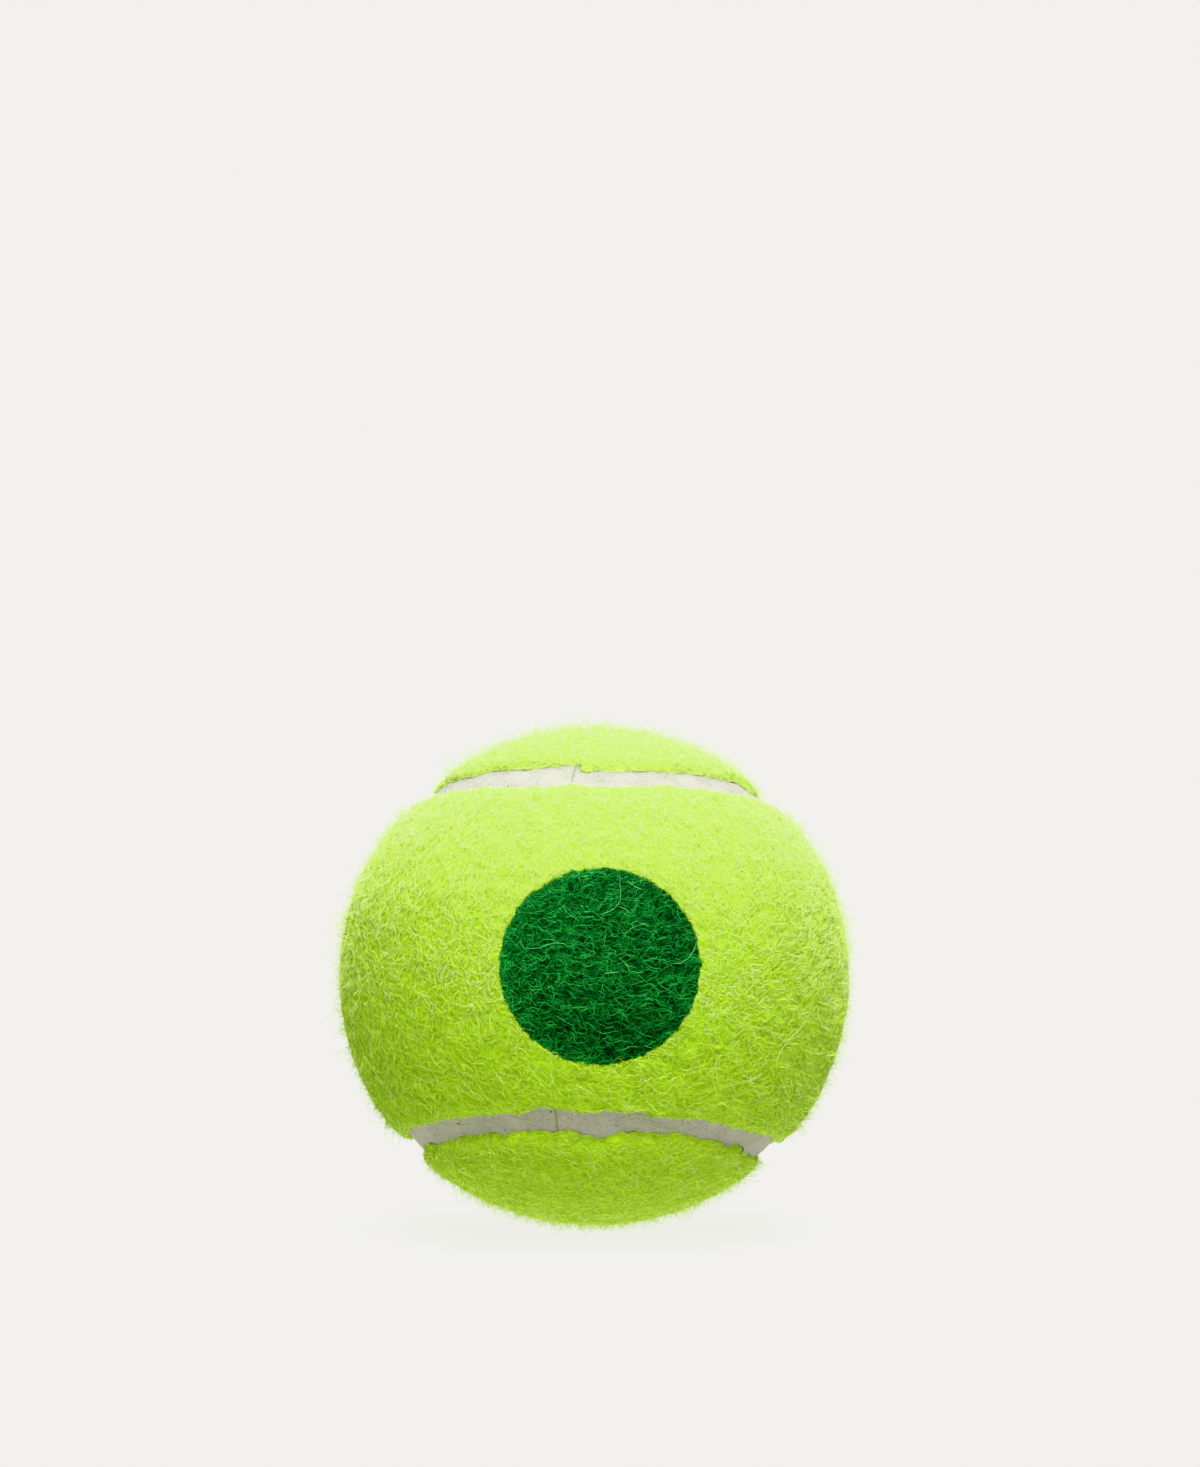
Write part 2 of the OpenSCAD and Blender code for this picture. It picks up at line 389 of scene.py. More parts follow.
def grow(root, heading, length, curl, wiggle, steps, g):
    """Paths that creep over the ball from root: directions and headings are
    carried along the surface, and heading is a path's mean. curl is in
    radians a mm."""
    count = len(root)
    p = root.copy()
    d = heading - (heading * p).sum(-1, keepdims=True) * p
    d = unit(d)
    phase = g.uniform(0, 2 * np.pi, count)
    rate = g.uniform(1.2, 3.2, count)
    mean = (curl * length / 2 - wiggle * np.cos(phase)
            + wiggle * (np.sin(rate * length + phase) - np.sin(phase)) / (rate * length))
    d = d * np.cos(mean)[:, None] - np.cross(p, d) * np.sin(mean)[:, None]
    path = [p.copy()]
    for a, b in zip(steps[:-1], steps[1:]):
        ds = (b - a) * length
        mid = (a + b) / 2 * length
        swing = curl * ds + wiggle * (np.cos(rate * (mid + ds / 2) + phase) - np.cos(rate * (mid - ds / 2) + phase))
        side = np.cross(p, d)
        d = d * np.cos(swing)[:, None] + side * np.sin(swing)[:, None]
        angle = (ds / BALL)[:, None]
        p, d = p * np.cos(angle) + d * np.sin(angle), d * np.cos(angle) - p * np.sin(angle)
        p, d = unit(p), unit(d)
        path.append(p.copy())
    return np.stack(path, 1)


def even_roots(count, g, jitter=0.9):
    """Points spread evenly over the ball, each moved a little at random."""
    k = np.arange(count) + 0.5
    z = 1 - 2 * k / count
    turns = np.pi * (1 + 5 ** 0.5) * k
    side = np.sqrt(1 - z ** 2)
    p = np.stack([side * np.cos(turns), side * np.sin(turns), z], 1)
    gap = math.sqrt(4 * math.pi / count)
    p = unit(p + g.normal(0, 0.5 * jitter * gap, (count, 3)))
    return p[g.permutation(count)]


def wool_heading(p, g, spread, free=1.0, sway=1.0):
    """Headings that run mostly level round the lower half, and any way above."""
    level = np.cross([0, 0, 1.0], p) + 1e-6
    level = np.where(np.abs(p[:, 2:3]) > 0.97, np.cross([1.0, 0, 0], p), level)
    level = unit(level)
    rise = np.cross(p, level)
    q = p * BALL
    lean = sway * (0.16 * lie_slow(q) + 0.20 * lie_fast(q))
    wide = spread * (1 + free * (1.1 * smooth(q[:, 2], 4, 22) + 0.8 * smooth(-q[:, 2], 24, 30)
                                 - 0.65 * smooth(np.abs(q[:, 0]), 10, 26)))
    a = lean + wide * g.normal(size=len(p))
    return level * np.cos(a)[:, None] + rise * np.sin(a)[:, None]


def keep_on_panel(path, panel, g, out_lo, out_hi, margin=0.45):
    """Bends paths that would leave their panel back along its edge."""
    count, k, _ = path.shape
    flat = path.reshape(-1, 3) * BAND
    f, which = depth(flat, panel)
    stop = np.repeat(g.uniform(out_lo, out_hi, count), k)
    near = f < margin
    span = margin - stop
    new = margin - span * (1 - np.exp(-(margin - f) / span))
    toward = 1.0 if panel == "a" else -1.0
    moved = flat.copy()
    moved[near] = move_across(flat[near], toward * (new - f)[near], which[near])
    f = np.where(near, new, f)
    return unit(moved).reshape(count, k, 3), f.reshape(count, k)


def profile(t, blunt=0.14):
    return np.sqrt(np.clip(np.minimum(t, 1 - t) / blunt, 0, 1))


def cut_at_spot(path, rad, colour, steps, blunt=0.14, over=0.0):
    """Parts fibres where they cross the edge of the spot. Returns the lists
    (paths, radii, colours) inside the spot and outside it. The edge is moved
    out by over, in degrees."""
    count, k, _ = path.shape
    fine = np.linspace(0, 1, 33)
    grid = np.interp(fine, steps, np.arange(k))
    lo = np.clip(np.floor(grid).astype(int), 0, k - 2)
    w = (grid - lo)[None, :, None]
    dense = path[:, lo] * (1 - w) + path[:, lo + 1] * w
    value = in_spot(dense) + over
    inside = value > 0
    whole_in = inside.all(1)
    whole_out = ~inside.any(1)
    mixed = ~(whole_in | whole_out)
    got = {True: [(path[whole_in], rad[whole_in], colour[whole_in])],
           False: [(path[whole_out], rad[whole_out], colour[whole_out])]}
    if mixed.any():
        dense, value, inside = dense[mixed], value[mixed], inside[mixed]
        r = rad[mixed]
        change = inside[:, 1:] != inside[:, :-1]
        i = change.argmax(1)
        rows = np.arange(len(i))
        a, b = value[rows, i], value[rows, i + 1]
        cut = fine[i] + (fine[i + 1] - fine[i]) * a / (a - b)
        for part in (0, 1):
            t0 = np.zeros_like(cut) if part == 0 else cut
            t1 = cut if part == 0 else np.ones_like(cut)
            long_enough = (t1 - t0) > 0.03
            tau = steps.copy()
            if part == 0:
                tau[-2] = 0.995
            else:
                tau[1] = 0.005
            t = t0[:, None] + (t1 - t0)[:, None] * tau[None]
            x = t * 32
            lo = np.clip(np.floor(x).astype(int), 0, 31)
            w = (x - lo)[..., None]
            new = dense[rows[:, None], lo] * (1 - w) + dense[rows[:, None], lo + 1] * w
            radii = r.max(1, keepdims=True) * profile(t, blunt)
            middle = np.clip(np.round((t0 + t1) / 2 * 32).astype(int), 0, 32)
            is_in = inside[rows, middle]
            for flag in (True, False):
                pick = long_enough & (is_in == flag)
                got[flag].append((new[pick], radii[pick], colour[mixed][pick]))
    return [tuple(np.concatenate([g[n] for g in got[flag]]) for n in range(3)) for flag in (True, False)]


# ---------------------------------------------------------------- materials

def new_material(name, rough=0.8, specular=0.3, sheen=0.0, sheen_rough=0.5, tint=(1, 1, 1, 1)):
    m = bpy.data.materials.new(name)
    m.use_nodes = True
    nt = m.node_tree
    nt.nodes.clear()
    out = nt.nodes.new("ShaderNodeOutputMaterial")
    p = nt.nodes.new("ShaderNodeBsdfPrincipled")
    nt.links.new(p.outputs["BSDF"], out.inputs["Surface"])
    p.inputs["Roughness"].default_value = rough
    p.inputs["Specular IOR Level"].default_value = specular
    p.inputs["Sheen Weight"].default_value = sheen
    p.inputs["Sheen Roughness"].default_value = sheen_rough
    p.inputs["Sheen Tint"].default_value = tint
    return m, nt, p


def ramp(nt, source, stops, ease="LINEAR"):
    r = nt.nodes.new("ShaderNodeValToRGB")
    r.color_ramp.interpolation = ease
    e = r.color_ramp.elements
    while len(e) < len(stops):
        e.new(0.5)
    for item, (at, colour) in zip(e, stops):
        item.position = at
        item.color = tuple(colour) + (1.0,)
    nt.links.new(source, r.inputs["Fac"])
    return r.outputs["Color"]


def math_node(nt, kind, a, b=None, c=None):
    n = nt.nodes.new("ShaderNodeMath")
    n.operation = kind
    for i, v in enumerate((a, b, c)):
        if v is None:
            continue
        if isinstance(v, (int, float)):
            n.inputs[i].default_value = v
        else:
            nt.links.new(v, n.inputs[i])
    return n.outputs[0]


def place(nt, scale=(1, 1, 1)):
    co = nt.nodes.new("ShaderNodeTexCoord")
    mp = nt.nodes.new("ShaderNodeMapping")
    mp.inputs["Scale"].default_value = scale
    nt.links.new(co.outputs["Object"], mp.inputs["Vector"])
    return mp.outputs["Vector"]


def noise(nt, where, size_mm, detail=3.0, rough=0.55, warp=0.0):
    n = nt.nodes.new("ShaderNodeTexNoise")
    n.inputs["Scale"].default_value = 1000.0 / size_mm
    n.inputs["Detail"].default_value = detail
    n.inputs["Roughness"].default_value = rough
    n.inputs["Distortion"].default_value = warp
    nt.links.new(where, n.inputs["Vector"])
    return n.outputs["Fac"]


def mix(nt, fac, a, b, kind="MIX"):
    n = nt.nodes.new("ShaderNodeMix")
    n.data_type = "RGBA"
    n.blend_type = kind
    for socket, v in ((n.inputs[0], fac), (n.inputs[6], a), (n.inputs[7], b)):
        if isinstance(v, (int, float)):
            socket.default_value = v
        elif isinstance(v, tuple):
            socket.default_value = v + (1.0,) if len(v) == 3 else v
        else:
            nt.links.new(v, socket)
    return n.outputs[2]


def bump(nt, p, height, strength, distance_mm):
    b = nt.nodes.new("ShaderNodeBump")
    b.inputs["Strength"].default_value = strength
    b.inputs["Distance"].default_value = distance_mm * MM
    nt.links.new(height, b.inputs["Height"])
    nt.links.new(b.outputs["Normal"], p.inputs["Normal"])


def wool_material(name, stops, rough, specular, sheen, root=0.86):
    """Fibres: the shade goes by the map's first number, one for each fibre,
    and is a little deeper towards a fibre's root."""
    m, nt, p = new_material(name, rough=rough, specular=specular, sheen=sheen, sheen_rough=0.45)
    uv = nt.nodes.new("ShaderNodeUVMap")
    uv.uv_map = "OFBake"
    sep = nt.nodes.new("ShaderNodeSeparateXYZ")
    nt.links.new(uv.outputs["UV"], sep.inputs["Vector"])
    shade_of = ramp(nt, sep.outputs["X"], stops)
    along = ramp(nt, sep.outputs["Y"], [(0.0, (root, root, root * 0.95)), (0.3, (1, 1, 1)), (1.0, (0.97, 0.98, 1.0))])
    nt.links.new(mix(nt, 1.0, shade_of, along, "MULTIPLY"), p.inputs["Base Color"])
    return m


wool = wool_material("wool_yellow_green", [
    (0.0, (0.48, 0.81, 0.004)),
    (0.35, (0.585, 0.89, 0.007)),
    (0.7, (0.68, 0.94, 0.042)),
    (0.9, (0.765, 0.96, 0.18)),
    (1.0, (0.84, 0.97, 0.42)),
], rough=0.42, specular=0.9, sheen=0.20)

loose = wool_material("wool_loose_ends", [
    (0.0, (0.55, 0.85, 0.010)),
    (0.4, (0.66, 0.92, 0.052)),
    (0.75, (0.75, 0.945, 0.25)),
    (1.0, (0.85, 0.97, 0.60)),
], rough=0.42, specular=0.85, sheen=0.28)

inked = wool_material("wool_inked_green", [
    (0.0, (0.0006, 0.008, 0.0010)),
    (0.30, (0.002, 0.050, 0.005)),
    (0.55, (0.009, 0.20, 0.019)),
    (0.80, (0.030, 0.45, 0.060)),
    (0.95, (0.090, 0.66, 0.14)),
    (1.0, (0.36, 0.80, 0.34)),
], rough=0.7, specular=0.25, sheen=0.0, root=0.55)


def felt_material(name, stops, sheen, painted_top_light=None):
    m, nt, p = new_material(name, rough=0.9, specular=0.2, sheen=sheen, sheen_rough=0.5)
    where = place(nt)
    low = place(nt, (1, 1, 3.5))
    streak = noise(nt, low, 1.6, 4.0, 0.65, 1.2)
    fleck = noise(nt, where, 0.55, 3.0, 0.7, 0.6)
    clump = noise(nt, where, 6.0, 2.0)
    sum1 = math_node(nt, "MULTIPLY_ADD", streak, 0.45, math_node(nt, "MULTIPLY", fleck, 0.35))
    total = math_node(nt, "MULTIPLY_ADD", clump, 0.2, sum1)
    base = ramp(nt, total, stops)
    if painted_top_light:
        # Painted light: the felt is painted paler above the ball's middle, where the lamps above fall.
        sep = nt.nodes.new("ShaderNodeSeparateXYZ")
        nt.links.new(where, sep.inputs["Vector"])
        up = nt.nodes.new("ShaderNodeMapRange")
        up.interpolation_type = "SMOOTHSTEP"
        for n, v in zip((1, 2, 3, 4), (-0.004, 0.020, 0.0, 0.85)):
            up.inputs[n].default_value = v
        nt.links.new(sep.outputs["Z"], up.inputs[0])
        base = mix(nt, up.outputs[0], base, painted_top_light)
    nt.links.new(base, p.inputs["Base Color"])
    bump(nt, p, total, 0.8, 0.25)
    return m


# The felt's last colour is its painted light, for its upper side.
felt = felt_material("felt_yellow_green", [
    (0.36, (0.49, 0.80, 0.012)), (0.5, (0.58, 0.88, 0.025)), (0.64, (0.66, 0.93, 0.06))], 0.3,
    (0.76, 0.965, 0.14))
felt_inked = felt_material("felt_inked_green", [
    (0.36, (0.0006, 0.014, 0.002)), (0.5, (0.0015, 0.042, 0.005)), (0.64, (0.004, 0.09, 0.012))], 0.0)


MOULD = unit(np.array([0.985, -0.1519, -0.0131]))  # across the closing line


def rubber_material():
    m, nt, p = new_material("seam_rubber_pale", rough=0.62, specular=0.35)
    where = place(nt)
    cloud = noise(nt, where, 3.0, 4.0, 0.6, 0.4)
    tooth = noise(nt, where, 0.35, 3.0, 0.65)
    scratch = noise(nt, place(nt, (0.35, 1, 2.2)), 0.5, 3.0, 0.7, 0.5)
    base = ramp(nt, cloud, [(0.3, (0.310, 0.309, 0.234)), (0.7, (0.370, 0.373, 0.292))])
    # Fine scratches, and pinholes with dirt in some of them
    mark = ramp(nt, scratch, [(0.30, (0.80, 0.80, 0.74)), (0.42, (1, 1, 1)), (0.66, (1, 1, 1)), (0.75, (1.1, 1.1, 1.08))])
    base = mix(nt, 1.0, base, mark, "MULTIPLY")
    v = nt.nodes.new("ShaderNodeTexVoronoi")
    v.feature = "F1"
    v.inputs["Scale"].default_value = 1000.0 / 1.3
    nt.links.new(where, v.inputs["Vector"])
    speck = math_node(nt, "LESS_THAN", v.outputs["Distance"], 0.10)
    some = math_node(nt, "GREATER_THAN", noise(nt, where, 2.6, 1.0), 0.47)
    dark = math_node(nt, "MULTIPLY", speck, some)
    fine = ramp(nt, tooth, [(0.32, (0.80, 0.80, 0.77)), (0.50, (1, 1, 1)), (0.72, (1.08, 1.08, 1.07))])
    base = mix(nt, 1.0, base, fine, "MULTIPLY")
    col = mix(nt, math_node(nt, "MULTIPLY", dark, 0.75), base, (0.10, 0.11, 0.08))
    # Painted shade along the closing line of the mould, beside its ridge on the side of its step
    across = nt.nodes.new("ShaderNodeVectorMath")
    across.operation = "DOT_PRODUCT"
    across.inputs[1].default_value = tuple(MOULD)
    nt.links.new(where, across.inputs[0])
    d = math_node(nt, "ABSOLUTE", math_node(nt, "ADD", across.outputs["Value"], 0.00022))
    line = ramp(nt, math_node(nt, "MULTIPLY", d, 1000.0), [(0.0, (0.66, 0.66, 0.60)), (0.13, (0.78, 0.78, 0.73)), (0.30, (1, 1, 1))])
    nt.links.new(mix(nt, 1.0, col, line, "MULTIPLY"), p.inputs["Base Color"])
    height = math_node(nt, "MULTIPLY_ADD", tooth, 0.5, math_node(nt, "MULTIPLY", dark, -0.9))
    bump(nt, p, math_node(nt, "MULTIPLY_ADD", scratch, 0.5, height), 0.8, 0.10)
    return m


def plain_rubber(name, dark, light, rough=0.75):
    m, nt, p = new_material(name, rough=rough, specular=0.3)
    where = place(nt)
    n = noise(nt, where, 2.5, 4.0, 0.6)
    nt.links.new(ramp(nt, n, [(0.35, dark), (0.65, light)]), p.inputs["Base Color"])
    bump(nt, p, noise(nt, where, 0.6, 3.0), 0.4, 0.05)
    return m


def woven_cloth():
    m, nt, p = new_material("backing_cloth_weave", rough=0.9, specular=0.15)
    where = place(nt)
    waves = []
    for direction in ("X", "Z"):
        w = nt.nodes.new("ShaderNodeTexWave")
        w.bands_direction = direction
        w.inputs["Scale"].default_value = 420
        w.inputs["Distortion"].default_value = 1.5
        w.inputs["Detail"].default_value = 1
        nt.links.new(where, w.inputs["Vector"])
        waves.append(w.outputs["Fac"])
    weave = math_node(nt, "MULTIPLY", waves[0], waves[1])
    nt.links.new(ramp(nt, weave, [(0.0, (0.42, 0.46, 0.26)), (1.0, (0.72, 0.75, 0.5))]), p.inputs["Base Color"])
    bump(nt, p, weave, 0.5, 0.1)
    return m


# ---------------------------------------------------------------- panels

cloth = woven_cloth()
SHELL_N = 124
for panel in ("a", "b"):
    shell = closed_layer(
        "felt_panel_" + panel, panel, SHELL_N, EDGE_IN,
        lambda q, f: felt_radius(q * BALL, f, panel),
        lambda q, f: np.full(len(q), CLOTH + 0.02))
    finish_piece(shell, felt, "felt_nap", "felt_nap_" + panel)
    back = closed_layer(
        "cloth_panel_" + panel, panel, 72, 0.25,
        lambda q, f: np.full(len(q), CLOTH - 0.02),
        lambda q, f: np.full(len(q), 30.33))
    finish_piece(back, cloth, "backing_cloth", "backing_cloth_" + panel)


# ---------------------------------------------------------------- spot

def spot_patch():
    rings, around = 44, 220
    t = np.linspace(0, 1, rings + 1)[1:]
    a = np.linspace(0, 2 * np.pi, around, endpoint=False)
    aim = (np.cos(a)[:, None] * spot_side + np.sin(a)[:, None] * spot_up)
    limit = np.full(around, np.radians(SPOT))
    for _ in range(3):  # the edge is a little uneven
        e = SPOT_AXIS * np.cos(limit)[:, None] + aim * np.sin(limit)[:, None]
        limit = np.radians(spot_limit(unit(e)))
    angle = t[:, None] * limit[None]
    q = (SPOT_AXIS * np.cos(angle)[..., None] + aim[None] * np.sin(angle)[..., None]).reshape(-1, 3)
    q = np.concatenate([SPOT_AXIS[None], q])
    f, _ = depth(q * BAND, "b")
    top = q * (felt_radius(q * BALL, f, "b") + 0.035)[:, None]
    low = q * (felt_radius(q * BALL, f, "b") - 0.25)[:, None]
    m = len(q)
    j = np.arange(around)
    k = (j + 1) % around
    tri = np.stack([np.zeros(around, int), 1 + j, 1 + k], 1)
    quads = np.concatenate([
        np.stack([1 + r * around + j, 1 + (r + 1) * around + j, 1 + (r + 1) * around + k, 1 + r * around + k], 1)
        for r in range(rings - 1)])
    rim = 1 + (rings - 1) * around
    wall = np.stack([rim + k, rim + j, rim + j + m, rim + k + m], 1)
    verts = np.concatenate([top, low])
    n = np.cross(verts[tri[0, 1]] - verts[tri[0, 0]], verts[tri[0, 2]] - verts[tri[0, 0]])
    if n @ SPOT_AXIS < 0:
        tri, quads, wall = tri[:, ::-1], quads[:, ::-1], wall[:, ::-1]
    return mesh_object("printed_spot_felt", verts,
                       [np.concatenate([tri, tri[:, ::-1] + m]), np.concatenate([quads, quads[:, ::-1] + m, wall])])


finish_piece(spot_patch(), felt_inked, "spot_ink", "printed_spot")


# ---------------------------------------------------------------- seam

def seam_band():
    """The rubber between the panels, as one closed band."""
    half, step = 4.3, 0.25
    points, arc_of = [], []
    for n, (axis, tip, across) in enumerate(ARCS):
        length = 2 * arc_span * math.sin(arc_angle) * BAND
        m = round(length / step)
        a = np.linspace(-arc_span, arc_span, m, endpoint=False)
        if n % 2:
            a = -a  # so that one arc runs on from the one before
        points.append((n, a))
    # Orders the four arcs end to end
    def ends(n, a):
        axis, tip, across = ARCS[n]
        f = lambda x: axis * math.cos(arc_angle) + math.sin(arc_angle) * (tip * math.cos(x) + across * math.sin(x))
        return f
    order, left = [(0, 1)], {1, 2, 3}
    f = ends(0, None)
    at = f(arc_span)
    while left:
        best = min(((np.linalg.norm(ends(n, None)(sgn * arc_span) - at), n, -sgn) for n in left for sgn in (1, -1)))
        _, n, direction = best
        order.append((n, direction))
        left.discard(n)
        at = ends(n, None)(direction * arc_span)
    axes, where, az, arcs_at = [], [], [], []
    for n, direction in order:
        axis, tip, across = ARCS[n]
        m = round(2 * arc_span * math.sin(arc_angle) * BAND / step)
        a = direction * np.linspace(-arc_span, arc_span, m, endpoint=False)
        where.append(tip[None] * np.cos(a)[:, None] + across[None] * np.sin(a)[:, None])
        axes.append(np.repeat(axis[None], m, 0))
        az.append(a)
        arcs_at.append(np.full(m, n))
    axes, where = np.concatenate(axes), np.concatenate(where)
    az, arcs_at = np.concatenate(az), np.concatenate(arcs_at)
    count = len(axes)
    s = np.linspace(-half, half, 37)  # more than 0 is towards panel A
    sign = np.where(arcs_at % 2 == 0, -1.0, 1.0)
    angle = arc_angle + sign[:, None] * s[None] / BAND
    q = axes[:, None] * np.cos(angle)[..., None] + where[:, None] * np.sin(angle)[..., None]
    q = unit(q)
    x = q * BAND
    r = (BAND - squat(x) + 0.035 * band_slow(x) + 0.012 * band_fast(x)
         - 0.02 * smooth(np.abs(s)[None], 0.2, 2.0))
    # The mould's closing line: a fine ridge, with a step in the rubber by it
    d = x @ MOULD + 0.05 * band_slow(x * 0.7 + 9)
    r += 0.20 * np.exp(-(d / 0.14) ** 2) - 0.06 * (d < 0) * np.exp(-np.abs(d) / 0.9)
    top = q * r[..., None]
    low = q * (30.19)
    cols = len(s)
    verts = np.concatenate([top.reshape(-1, 3), low.reshape(-1, 3)])
    i = np.arange(count)[:, None]
    j = np.arange(cols - 1)[None]
    i1 = (i + 1) % count
    quads = np.stack([(i * cols + j), (i1 * cols + j), (i1 * cols + j + 1), (i * cols + j + 1)], -1).reshape(-1, 4)
    m = count * cols
    n = np.cross(verts[quads[0, 1]] - verts[quads[0, 0]], verts[quads[0, 2]] - verts[quads[0, 0]])
    if n @ verts[quads[0, 0]] < 0:
        quads = quads[:, ::-1]
    walls = []
    edges = np.concatenate([quads[:, [k, (k + 1) % 4]] for k in range(4)])
    key = np.sort(edges, 1)
    _, first, times = np.unique(key[:, 0] * m + key[:, 1], return_index=True, return_counts=True)
    rim = edges[first[times == 1]]
    walls = np.stack([rim[:, 1], rim[:, 0], rim[:, 0] + m, rim[:, 1] + m], 1)
    return mesh_object("seam_rubber_band", verts, np.concatenate([quads, quads[:, ::-1] + m, walls]))


finish_piece(seam_band(), rubber_material(), "seam_rubber", "seam_rubber")


# ---------------------------------------------------------------- wool

MAT_LIMIT, FUZZ_LIMIT = 11000, 16500  # fibres in one piece
g = np.random.default_rng(20761)
inside_spot, outside = [], {"a": [], "b": []}


def lay(path, f, panel, height, arch, rad_mm, t):
    """Gives unit paths their radii over the felt, and each fibre its taper."""
    q = path.reshape(-1, 3)
    r = felt_radius(q * BALL, f.reshape(-1), panel).reshape(f.shape)
    h = height[:, None] + arch[:, None] * np.sin(np.pi * t)[None] - 0.06 * (np.abs(2 * t - 1) ** 4)[None]
    r = r + h * smooth(f, -0.2, 0.9 if panel == "a" else 0.6) + 0.04
    return path * r[..., None], rad_mm[:, None] * profile(t)[None]


def calm(p):
    """The mat is more even on the upper side, and at the very bottom."""
    z = p[:, 2] * BALL
    return 1 - 0.72 * smooth(z, -4, 18) - 0.5 * smooth(-z, 22, 29)


def painted_light_paleness(p):
    """How much paler the fibres are painted on the upper side and at the very bottom: painted light, where the lamps
    above and the floor's light fall.
    """
    z = p[:, 2] * BALL
    return 0.74 * smooth(z, -9, 3) + 0.76 * smooth(z, 0, 22) + 0.5 * smooth(-z, 20, 30)


# The mat: curled fibres that lie on the felt, fewer of them higher up
total = int(114000 * DENSITY)
roots = even_roots(int(total * 1.08), g)
for panel in ("a", "b"):
    f, _ = depth(roots * BAND, panel)
    root = roots[f > 0.05]
    n = len(root)
    length = g.gamma(5.0, 0.42, n) + 0.6
    curl = g.normal(0, 0.85, n) * (1 - 0.3 * smooth(np.abs(root[:, 0]) * BALL, 10, 26))
    path = grow(root, wool_heading(root, g, 0.90), length, curl, g.uniform(0.3, 1.0, n), STEPS, g)
    path, f = keep_on_panel(path, panel, g, -0.30, 0.12)
    level = 0.42 + calm(root) * (g.beta(1.2, 1.7, n) - 0.42)
    # Painted light and shade: fibres are painted paler on the upper side and at the very bottom, and darker the lower
    # they lie in the mat.
    colour = 0.36 + 0.32 * painted_light_paleness(root) + 0.50 * (level - 0.42) + calm(root) * g.normal(0, 0.22, n)
    colour = np.clip(colour, 0, 1)
    full, rad = lay(path, f, panel, 0.70 * level + 0.02, g.uniform(0, 0.12, n),
                    g.uniform(0.021, 0.038, n), STEPS)
    if panel == "b":
        full, rad, colour = cut_at_spot(full, rad, colour, STEPS)[1]
    outside[panel].append((full, rad, colour))

# The same wool, where it covers the cut side of a panel down to the rubber
for panel in ("a", "b"):
    toward = 1.0 if panel == "a" else -1.0
    for arc, (axis, tip, across) in enumerate(ARCS):
        n = int(1400 * DENSITY)
        a = g.uniform(-arc_span, arc_span, n)
        root = (axis * math.cos(arc_angle)
                + math.sin(arc_angle) * (tip * np.cos(a)[:, None] + across * np.sin(a)[:, None]))
        f, which = depth(root * BAND, panel)
        share = g.uniform(size=n)
        start = -0.10 + 0.20 * share + g.normal(0, 0.03, n)
        root = unit(move_across(root * BAND, toward * (start - f), which))
        run = np.cross(axis[None], root) * np.where(g.uniform(size=n) < 0.5, 1.0, -1.0)[:, None]
        side = np.cross(root, run)
        lean = g.normal(0, 0.7, n)[:, None]
        path = grow(root, run * np.cos(lean) + side * np.sin(lean), g.gamma(4.0, 0.25, n) + 0.3,
                    g.normal(0, 0.8, n), g.uniform(0.2, 0.8, n), STEPS, g)
        f, which = depth(path * BAND, panel)
        hold = start[:, None] + 0.5 * np.clip(f - start[:, None], -0.3, 0.5)
        path = unit(move_across(path * BAND, toward * (hold - f), which))
        foot = BAND - squat(path) - 0.02
        crest = felt_radius(path * BALL, np.maximum(hold, 0.15), panel) + 0.05
        rise = np.clip(share[:, None] + g.normal(0, 0.10, n)[:, None] * (2 * STEPS[None] - 1), 0, 1.05)
        # Painted light and shade: these fibres are painted paler on the upper side and at the very bottom, and darker
        # the nearer they sit to the rubber.
        colour = np.clip(0.40 + 0.32 * painted_light_paleness(root) + 0.1 * share + g.normal(0, 0.16, n), 0, 1)
        full = path * (foot + rise * (crest - foot))[..., None]
        rad = g.uniform(0.022, 0.034, n)[:, None] * profile(STEPS)[None]
        outside[panel].append((full, rad, colour))

# The spot's own fibres: inked and curlier, painted darker where they lie deep and low on the spot: painted shade
near = even_roots(int(400000 * DENSITY), g)
near = near[in_spot(near) > -4]
n = len(near)
path = grow(near, wool_heading(near, g, 0.62, 0.0, 0.4), g.gamma(5.0, 0.34, n) + 0.5, g.normal(0, 0.6, n),
            g.uniform(0.3, 1.0, n), STEPS, g)
path, f = keep_on_panel(path, "b", g, -0.30, 0.12)
level = g.beta(1.1, 1.9, n)
low = smooth(-(near @ spot_up) * BALL, -3, 13)  # painted shade: the ink is painted darker low down
rim = 1 - smooth(in_spot(near), -0.5, 1.6)  # and paler along its edge
ink = np.clip(0.78 * level - 0.13 * low + 0.22 * rim - 0.015 + g.normal(0, 0.42, n), 0, 0.96)
full, rad = lay(path, f, "b", 0.46 * level + 0.04, g.uniform(0, 0.10, n),
                g.uniform(0.017, 0.033, n), STEPS)
inside_spot.append(cut_at_spot(full, rad, ink, STEPS, over=0.24)[0])

